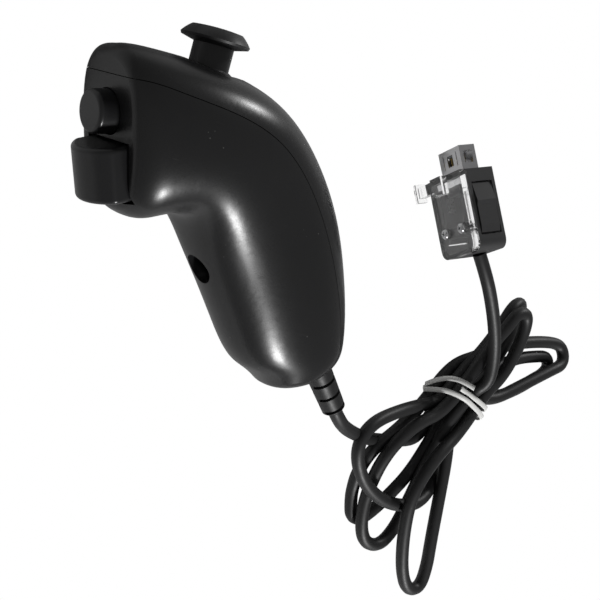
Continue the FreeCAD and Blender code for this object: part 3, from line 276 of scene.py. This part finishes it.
# %% [markdown]
# ## Scratches
# Handling leaves fine hairlines that show only as duller streaks in a reflection. So they change
# the roughness and not the colour. A noise that is squeezed hard in two directions becomes long
# thin lines in the third.

# %% Scratches
SCRATCH_STRETCH = (40.0, 900.0, 900.0)
SCRATCH_TURN = (0.3, 0.4, 0.9)


def add_scratches(node, link, place, rough, strength):
    """Adds thin rougher lines to a roughness and returns the new roughness."""
    stretch = node("ShaderNodeMapping", Scale=SCRATCH_STRETCH, Rotation=SCRATCH_TURN)
    lines = node("ShaderNodeTexNoise", Scale=1.0, Detail=2.0)
    cut = node("ShaderNodeMapRange", From_Min=0.70, From_Max=0.78, To_Max=strength)
    total = node("ShaderNodeMath", operation="ADD")
    link(place, stretch.inputs["Vector"])
    link(stretch.outputs["Vector"], lines.inputs["Vector"])
    link(lines.outputs["Fac"], cut.inputs["Value"])
    link(rough, total.inputs[0])
    link(cut.outputs["Result"], total.inputs[1])
    return total.outputs["Value"]


print("scratches:", [round(1000 / times, 1) for times in SCRATCH_STRETCH], "mm per wave")

# %% [markdown]
# ## One finish
# The maker joins these into a Principled shader. Sixteen finishes could be sixteen graphs drawn by
# hand, but they differ only in their numbers, so one function draws them all. A value that is the
# same all over, such as the coat, is set on the shader's own socket.

# %% Finish maker
COAT_ROUGHNESS = 0.12


def finish(name, colour, rough, grain=900, bump=0.02, mottle=0.15, metal=0.0, coat=0.0,
           clear=0.0, dust=0.0, scratches=0.0):
    """A procedural material. Grain is the noise's scale per metre, and bump is in mm."""
    mat = bpy.data.materials.new(name)
    mat.use_nodes = True
    mat.node_tree.nodes.clear()
    node = node_maker(mat.node_tree)
    link = mat.node_tree.links.new
    out = node("ShaderNodeOutputMaterial")
    shader = node("ShaderNodeBsdfPrincipled", Metallic=metal, Coat_Weight=coat,
                  Coat_Roughness=COAT_ROUGHNESS, Transmission_Weight=clear)
    place = node("ShaderNodeTexCoord").outputs["Object"]
    slow = node("ShaderNodeTexNoise", Scale=grain / 12, Detail=4.0)
    fine = node("ShaderNodeTexNoise", Scale=float(grain), Detail=3.0)
    tone = node("ShaderNodeMapRange", To_Min=1 - mottle, To_Max=1 + mottle)
    tint = node("ShaderNodeVectorMath", operation="SCALE")
    tint.inputs[0].default_value = colour
    satin = node("ShaderNodeMapRange", To_Min=rough * 0.8, To_Max=min(1.0, rough * 1.2))
    relief = node("ShaderNodeBump", Strength=1.0, Distance=bump * MM)
    link(place, slow.inputs["Vector"])
    link(place, fine.inputs["Vector"])
    link(slow.outputs["Fac"], tone.inputs["Value"])
    link(tone.outputs["Result"], tint.inputs["Scale"])
    link(fine.outputs["Fac"], satin.inputs["Value"])
    link(fine.outputs["Fac"], relief.inputs["Height"])
    shade, sheen = tint.outputs["Vector"], satin.outputs["Result"]
    if dust:
        shade = add_dust(node, link, place, shade, dust)
    if scratches:
        sheen = add_scratches(node, link, place, sheen, scratches)
    link(shade, shader.inputs["Base Color"])
    link(sheen, shader.inputs["Roughness"])
    link(relief.outputs["Normal"], shader.inputs["Normal"])
    link(shader.outputs["BSDF"], out.inputs["Surface"])
    return mat


print("finish maker: coat roughness", COAT_ROUGHNESS)

# %% [markdown]
# ## Outer finishes
# Satin black plastic for the shells, a little lighter for the button and the trigger, and duller
# for the stick. The plug's is a rougher copy of the shells' plastic, and its greyer tone is painted
# light from above. Then rubber for the cord, a white and a clear plastic, bright metal for the
# sheath and the screws, and a near-black painted shade for their recesses. Blacks side by side are
# told apart mostly by their roughness, because that sets the size of each highlight.

# %% Outer finishes
outer_recipes = {
    "shell_plastic": dict(colour=(0.012, 0.012, 0.0125), rough=0.30, grain=2600, bump=0.006,
                          mottle=0.10, dust=0.5, scratches=0.12),
    "stick_plastic": dict(colour=(0.026, 0.026, 0.027), rough=0.40, grain=2400, bump=0.012),
    "button_plastic": dict(colour=(0.016, 0.016, 0.017), rough=0.30, grain=2400, bump=0.006,
                           dust=0.3),
    # The plug's lighter colour is painted light from above on its faces, and its roughness is its
    # own.
    "plug_plastic_painted_light": dict(colour=(0.044, 0.044, 0.045), rough=0.46, grain=2600, bump=0.006,
                         mottle=0.12, dust=0.2),
    "cord_rubber": dict(colour=(0.015, 0.015, 0.0155), rough=0.50, grain=1500, bump=0.004,
                        mottle=0.2, dust=0.25),
    "white_plastic": dict(colour=(0.90, 0.90, 0.88), rough=0.42, grain=900, bump=0.02,
                          mottle=0.06),
    "clear_plastic": dict(colour=(0.93, 0.93, 0.93), rough=0.08, grain=600, bump=0.004,
                          mottle=0.02, clear=1.0),
    "steel": dict(colour=(0.62, 0.62, 0.63), rough=0.28, grain=1500, bump=0.004, metal=1.0,
                  scratches=0.2),
    "sheath_metal": dict(colour=(0.62, 0.62, 0.63), rough=0.24, grain=1200, bump=0.006,
                         metal=1.0, scratches=0.25),
    # Near-black for the cross recesses: painted shade, as hardly any light reaches their floor.
    "recess_painted_shade": dict(colour=(0.02, 0.02, 0.02), rough=0.6, grain=2600, bump=0.004,
                         metal=0.4, mottle=0.2),
}
finishes = {}
for name, values in outer_recipes.items():
    finishes[name] = finish(name, **values)
print("outer finishes:", ", ".join(outer_recipes))

# %% [markdown]
# ## Inner finishes
# What is inside shows only when the shells come off: a green board with a thin coat of lacquer,
# matt chips, gold contacts, grey rubber domes, wires in a red cover and plain dark plastic.

# %% Inner finishes
inner_recipes = {
    "inner_plastic": dict(colour=(0.10, 0.10, 0.105), rough=0.5, grain=1800),
    "board": dict(colour=(0.02, 0.10, 0.035), rough=0.45, grain=800, bump=0.01, coat=0.4),
    "chip": dict(colour=(0.02, 0.02, 0.022), rough=0.55, grain=3000),
    "contact_gold": dict(colour=(0.83, 0.60, 0.22), rough=0.25, grain=1500, bump=0.004,
                         metal=1.0),
    "dome_rubber": dict(colour=(0.55, 0.56, 0.56), rough=0.6, grain=900, bump=0.02),
    "wire_cover": dict(colour=(0.50, 0.06, 0.05), rough=0.45, grain=900, bump=0.02),
}
for name, values in inner_recipes.items():
    finishes[name] = finish(name, **values)
print("inner finishes:", ", ".join(inner_recipes))

# %% [markdown]
# ## Tie
# A flat paper-covered strip with its wire down the middle, wound twice round the waist of the
# hank. It could be bent from a long box, but a strip that is swept along a line keeps its width in
# every bend. The line's points are measured across the waist, along it, and up, from the waist's
# middle, so that the winding could be drawn without thinking of the hank's own slant.

# %% The tie's route
WAIST = Vector((136.4, -78.7, 0))
WAIST_SLANT = math.radians(58.1)
waist_along = Vector((math.cos(WAIST_SLANT), math.sin(WAIST_SLANT), 0))
waist_across = Vector((-waist_along.y, waist_along.x, 0))
tie_route = [(7.5, 1.2, -5.6), (3.5, 2.0, -4.8), (-1.0, 3.0, -4.7), (-6.5, 4.0, -5.0),
             (-9.8, 4.4, -7.0), (-10.0, 4.0, -13.0), (-8.5, 2.5, -18.8), (0.0, 0.0, -18.8),
             (8.0, -3.5, -18.8), (10.4, -5.2, -16.0), (10.6, -4.0, -12.5), (9.6, -2.0, -7.5),
             (4.5, -0.3, -4.3), (-1.0, 0.4, -4.2), (-6.0, 1.0, -4.4), (-10.2, 1.0, -6.4),
             (-10.4, 0.6, -11.0), (-9.0, 0.0, -18.8), (0.0, -1.5, -18.8), (8.5, -3.0, -18.8),
             (11.0, -3.0, -15.5), (11.6, -0.8, -12.8), (10.8, 2.0, -9.0), (8.6, 3.4, -5.4),
             (4.6, 4.2, -3.9)]


def waist_point(across, along, height):
    """A point at the waist in mm, as a point measured from the stick's foot."""
    return WAIST + waist_across * across + waist_along * along + Vector((0, 0, height))


print("tie:", len(tie_route), "points")

# %% [markdown]
# The strip is a second curve with the strip's section as its bevel: flat below, with a low ridge
# on top where the wire is. Here the radius on the points stays 1, because it scales the section.
# Then the strip is made a mesh, and the two curves go.

# %% Tie
TIE_SECTION = [(-0.8, -0.15), (0.8, -0.15), (0.8, 0.15), (0.3, 0.17), (0.0, 0.3), (-0.3, 0.17),
               (-0.8, 0.15)]
section_data = bpy.data.curves.new("tie_section", "CURVE")
section_data.dimensions = "2D"
edge = section_data.splines.new("POLY")
edge.points.add(len(TIE_SECTION) - 1)
for point, (x, y) in zip(edge.points, TIE_SECTION):
    point.co = (x * MM, y * MM, 0, 1)
edge.use_cyclic_u = True
section = link_to_scene(bpy.data.objects.new("tie_section", section_data))
strip = spline_curve("tie_strip", [waist_point(*point) for point in tie_route], 1.0)
strip.data.bevel_mode = "OBJECT"
strip.data.bevel_object = section
bpy.context.view_layer.update()
shaped = strip.evaluated_get(bpy.context.evaluated_depsgraph_get())
tie_mesh = bpy.data.meshes.new_from_object(shaped)
tie = link_to_scene(bpy.data.objects.new("tie", tie_mesh))
bpy.data.objects.remove(strip)
bpy.data.objects.remove(section)
tie_mesh.materials.clear()
tie_mesh.materials.append(finishes["white_plastic"])
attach(tie, "controller")
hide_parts("twist_tie")
print("tie:", len(tie_mesh.polygons), "faces")

# %% [markdown]
# ## The plug's own directions
# The plug lies tilted, so its screws are placed in the plug's own frame. Its x runs along the
# sheath, and the screw heads look along its -z, out through the clear cover.

# %% Plug frame
PLUG_CENTRE = Vector((110.1, -19.3, -4.2))
plug_x = Vector((-0.202, 0.881, -0.427)).normalized()
plug_y = Vector((0.936, 0.302, 0.181)).cross(plug_x).normalized()
plug_z = plug_x.cross(plug_y)


def plug_matrix(x, y, z):
    """The plug's directions, placed at a point that is given in its own frame in mm."""
    made = Matrix((plug_x, plug_y, plug_z)).transposed().to_4x4()
    made.translation = at(*(PLUG_CENTRE + plug_x * x + plug_y * y + plug_z * z))
    return made


print("the plug points along", [round(value, 3) for value in plug_x])

# %% [markdown]
# ## Plug screws
# The frame's screws have plain domes. These are pan heads with the cross recess that the
# photograph shows. A head starts as a disc, which is extruded and bevelled. The flat top is inset,
# every corner between the arms is pulled in, and what is left is pressed down as a cross.
# A boolean with a cross-shaped cutter would do it too, but leaves untidy faces.

# %% Screw head
HEAD_RADIUS = 1.48 * MM
HEAD_HEIGHT = 1.1 * MM
HEAD_ROUNDING = 0.45 * HEAD_RADIUS
HEAD_RIM = 0.04 * HEAD_RADIUS
CORNER_PULL = 0.42
CORNER_FROM, CORNER_TO = math.radians(20), math.radians(70)
CROSS_DEPTH = 0.7 * HEAD_HEIGHT
CROSS_TAPER = 0.7


def vertices(geometry):
    """The vertices among what a bmesh operator returns."""
    return [item for item in geometry if isinstance(item, bmesh.types.BMVert)]


def cross_screw(bm, matrix, turn):
    """Adds a pan head with a cross recess; its top looks along the matrix's -z."""
    start = set(bm.verts)
    disc = bmesh.ops.create_circle(bm, cap_ends=True, segments=32, radius=HEAD_RADIUS)["verts"]
    face = next(f for f in bm.faces if f.verts[0] in disc)
    raised = bmesh.ops.extrude_face_region(bm, geom=[face])["geom"]
    bmesh.ops.translate(bm, verts=vertices(raised), vec=(0, 0, HEAD_HEIGHT))
    cap = next(f for f in raised if isinstance(f, bmesh.types.BMFace))
    bmesh.ops.bevel(bm, geom=list(cap.edges), offset=HEAD_ROUNDING, segments=4, profile=0.5,
                    affect="EDGES", material=-1)
    cap = max((f for f in bm.faces if all(v not in start for v in f.verts)),
              key=lambda f: f.calc_center_median().z)
    bmesh.ops.inset_region(bm, faces=[cap], thickness=HEAD_RIM)
    for v in cap.verts:
        angle = math.atan2(v.co.y, v.co.x) % (math.pi / 2)
        if CORNER_FROM < angle < CORNER_TO:
            v.co.x *= CORNER_PULL
            v.co.y *= CORNER_PULL
    floor_of_cross = vertices(bmesh.ops.extrude_face_region(bm, geom=[cap])["geom"])
    bmesh.ops.translate(bm, verts=floor_of_cross, vec=(0, 0, -CROSS_DEPTH))
    bmesh.ops.scale(bm, verts=floor_of_cross, vec=(CROSS_TAPER, CROSS_TAPER, 1.0))
    # The recess faces take the second slot, the painted shade.
    for recess_face in {f for v in floor_of_cross for f in v.link_faces}:
        recess_face.material_index = 1
    bmesh.ops.delete(bm, geom=[cap], context="FACES_ONLY")
    place = matrix @ Matrix.Rotation(math.pi, 4, "X") @ Matrix.Rotation(turn, 4, "Z")
    bmesh.ops.transform(bm, matrix=place, verts=[v for v in bm.verts if v not in start])


print("screw head:", round(2 * HEAD_RADIUS / MM, 2), "mm across")

# %% [markdown]
# Both heads are one piece, as the two screws are one node. The recess is painted near-black as
# shade, because hardly any light gets to its floor. The helper turns a bmesh into a piece on a
# body.

# %% Plug screws
SCREW_SEAT = -6.05
SCREW_PLACES = (-4.6, 4.2, 0.3), (-4.6, -5.0, 1.1)


def new_piece(name, bm, body, slot):
    """An object from a bmesh, on a body, with its finish."""
    data = bpy.data.meshes.new(name)
    bm.to_mesh(data)
    bm.free()
    data.shade_smooth()
    data.materials.append(finishes[slot])
    obj = link_to_scene(bpy.data.objects.new(name, data))
    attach(obj, body)
    return obj


screws = bmesh.new()
for x, y, turn in SCREW_PLACES:
    cross_screw(screws, plug_matrix(x, y, SCREW_SEAT), turn)
screw_heads = new_piece("plug_screw_heads", screws, "controller", "steel")
# The second slot paints shade into the recesses.
screw_heads.data.materials.append(finishes["recess_painted_shade"])
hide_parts("plug_screws")
print("screws:", len(screw_heads.data.polygons), "faces")

# %% [markdown]
# ## Rubber domes
# Under the button and under the trigger stands a soft dome that gives way when it is pressed. Each
# is a copy of its solid, because that already has the right shape.

# %% Rubber domes
for node_name, joint, height_left in (("round_button_dome", "round_button_press", 0.5),
                                      ("trigger_dome", "trigger_pull", 0.36)):
    rubber = bmesh.new()
    rubber.from_mesh(nodes[node_name].data)
    bmesh.ops.remove_doubles(rubber, verts=rubber.verts, dist=1e-6)
    for face in rubber.faces:
        face.material_index = 0
    dome = new_piece("soft_" + node_name, rubber, "controller", "dome_rubber")
    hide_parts(node_name)
    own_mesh(dome)
    print(dome.name, len(dome.data.polygons), "faces")

# %% [markdown]
# ## Finishes on the frame
# Each solid comes with slots that are named for their finish. The finish could go into the mesh,
# but a material on the object's slot leaves the mesh as it is. The plug's dark pieces share the
# shells' slot in the frame, and are greyer in the photograph, where their faces catch light from
# above. So they get a rougher finish of their own, painted lighter to stand for that light.

# %% Finishes on the frame
PLUG_PIECES = ("plug_housing", "squeeze_lever_upper", "squeeze_lever_lower")
for name, obj in nodes.items():
    for held in obj.material_slots:
        wanted = held.material.name.split(".")[0] if held.material else "shell_plastic"
        if wanted not in finishes:
            print("no finish for", name, wanted)
            wanted = "shell_plastic"
        held.link = "OBJECT"
        # The plug's pieces take the finish with the painted light.
        held.material = finishes["plug_plastic_painted_light" if name in PLUG_PIECES else wanted]
cord.data.materials.append(finishes["cord_rubber"])
print("finished:", len(nodes), "nodes")

# %% [markdown]
# ## Room
# The photograph is cut out on white, but the black plastic reflects a dim room. More light would
# make the ground white, and the plastic grey with it. So the room is white only to the camera and
# through the clear cover, and dim to everything else. Gloss gets a small share of the white.

# %% Room
GLOSS_SHARE = 0.06


def white_to_camera(tree, plain, white, target, gloss_share=0.0):
    """Shows the white shader to the camera and through clear pieces, and else the plain one."""
    node = node_maker(tree)
    link = tree.links.new
    rays = node("ShaderNodeLightPath")
    seen = node("ShaderNodeMath", operation="MAXIMUM")
    share = node("ShaderNodeMath", operation="MULTIPLY_ADD", use_clamp=True)
    share.inputs[1].default_value = gloss_share
    pick = node("ShaderNodeMixShader")
    link(rays.outputs["Is Camera Ray"], seen.inputs[0])
    link(rays.outputs["Is Transmission Ray"], seen.inputs[1])
    link(rays.outputs["Is Glossy Ray"], share.inputs[0])
    link(seen.outputs["Value"], share.inputs[2])
    link(share.outputs["Value"], pick.inputs["Fac"])
    link(plain.outputs[0], pick.inputs[1])
    link(white.outputs[0], pick.inputs[2])
    link(pick.outputs["Shader"], target.inputs["Surface"])


world = bpy.data.worlds.new("room")
world.use_nodes = True
world.node_tree.nodes.clear()
bpy.context.scene.world = world
node = node_maker(world.node_tree)
dim = node("ShaderNodeBackground", Color=(1, 1, 1, 1), Strength=0.14)
bright = node("ShaderNodeBackground", Color=(1, 1, 1, 1), Strength=1.0)
white_to_camera(world.node_tree, dim, bright, node("ShaderNodeOutputWorld"), GLOSS_SHARE)
print("room strength:", round(dim.inputs["Strength"].default_value, 3))

# %% [markdown]
# ## Floor
# A plain pale sheet just under the lowest piece, white to the camera in the same way. Without it
# light would come from below too.

# %% Floor
FLOOR_HALF_WIDTH = 1.2
FLOOR_CENTRE = 0.06, -0.03
FLOOR_GAP = 0.2 * MM
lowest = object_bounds()[0].z
sheet = bmesh.new()
bmesh.ops.create_grid(sheet, x_segments=1, y_segments=1, size=FLOOR_HALF_WIDTH)
bmesh.ops.translate(sheet, verts=sheet.verts, vec=(*FLOOR_CENTRE, lowest - FLOOR_GAP))
floor_mesh = bpy.data.meshes.new("floor")
sheet.to_mesh(floor_mesh)
sheet.free()
floor = link_to_scene(bpy.data.objects.new("floor", floor_mesh))
paper = bpy.data.materials.new("pale_floor")
paper.use_nodes = True
paper.node_tree.nodes.clear()
node = node_maker(paper.node_tree)
matte = node("ShaderNodeBsdfDiffuse", Color=(0.70, 0.70, 0.70, 1))
glow = node("ShaderNodeEmission", Color=(1, 1, 1, 1))
white_to_camera(paper.node_tree, matte, glow, node("ShaderNodeOutputMaterial"))
floor_mesh.materials.append(paper)
print("floor at", round((lowest - FLOOR_GAP) / MM, 2), "mm")

# %% [markdown]
# ## Light
# Each highlight in the photograph says where a light stood: a ray from the camera is bounced off
# the surface there, and the light is where the bounced ray goes. Two area lights came of it. The
# one on the belly's side draws the long streak down the handle, and the one at the back draws the
# patch on the upper shell. A large light would be simpler, but it spreads its highlight over the
# whole side. These are small and far away, which keeps the highlights narrow.

# %% Light
LIGHT_DISTANCE = 0.9
LIGHT_AIM = (75, -60, 0)


def soft_light(name, direction, size, watts):
    """A rectangular light that stands in a direction from the object and looks at it."""
    data = bpy.data.lights.new(name, "AREA")
    data.shape = "RECTANGLE"
    data.size, data.size_y = size
    data.energy = watts
    towards = Vector(direction).normalized()
    turn = towards.to_track_quat("Z", "X").to_matrix().to_4x4()
    turn.translation = at(*LIGHT_AIM) + towards * LIGHT_DISTANCE
    light = link_to_scene(bpy.data.objects.new(name, data))
    light.matrix_world = turn
    print(name, "stands at", [round(value, 2) for value in turn.translation])


soft_light("belly_side", (0.18, -0.76, 0.61), (0.14, 0.10), 6)
soft_light("back_side", (0.62, 0.74, 0.26), (0.10, 0.10), 2.2)

# %% [markdown]
# ## Close
# Last, the view transform is set to Standard, so that the colours are shown as they are.

# %% Close
bpy.context.scene.view_settings.view_transform = "Standard"
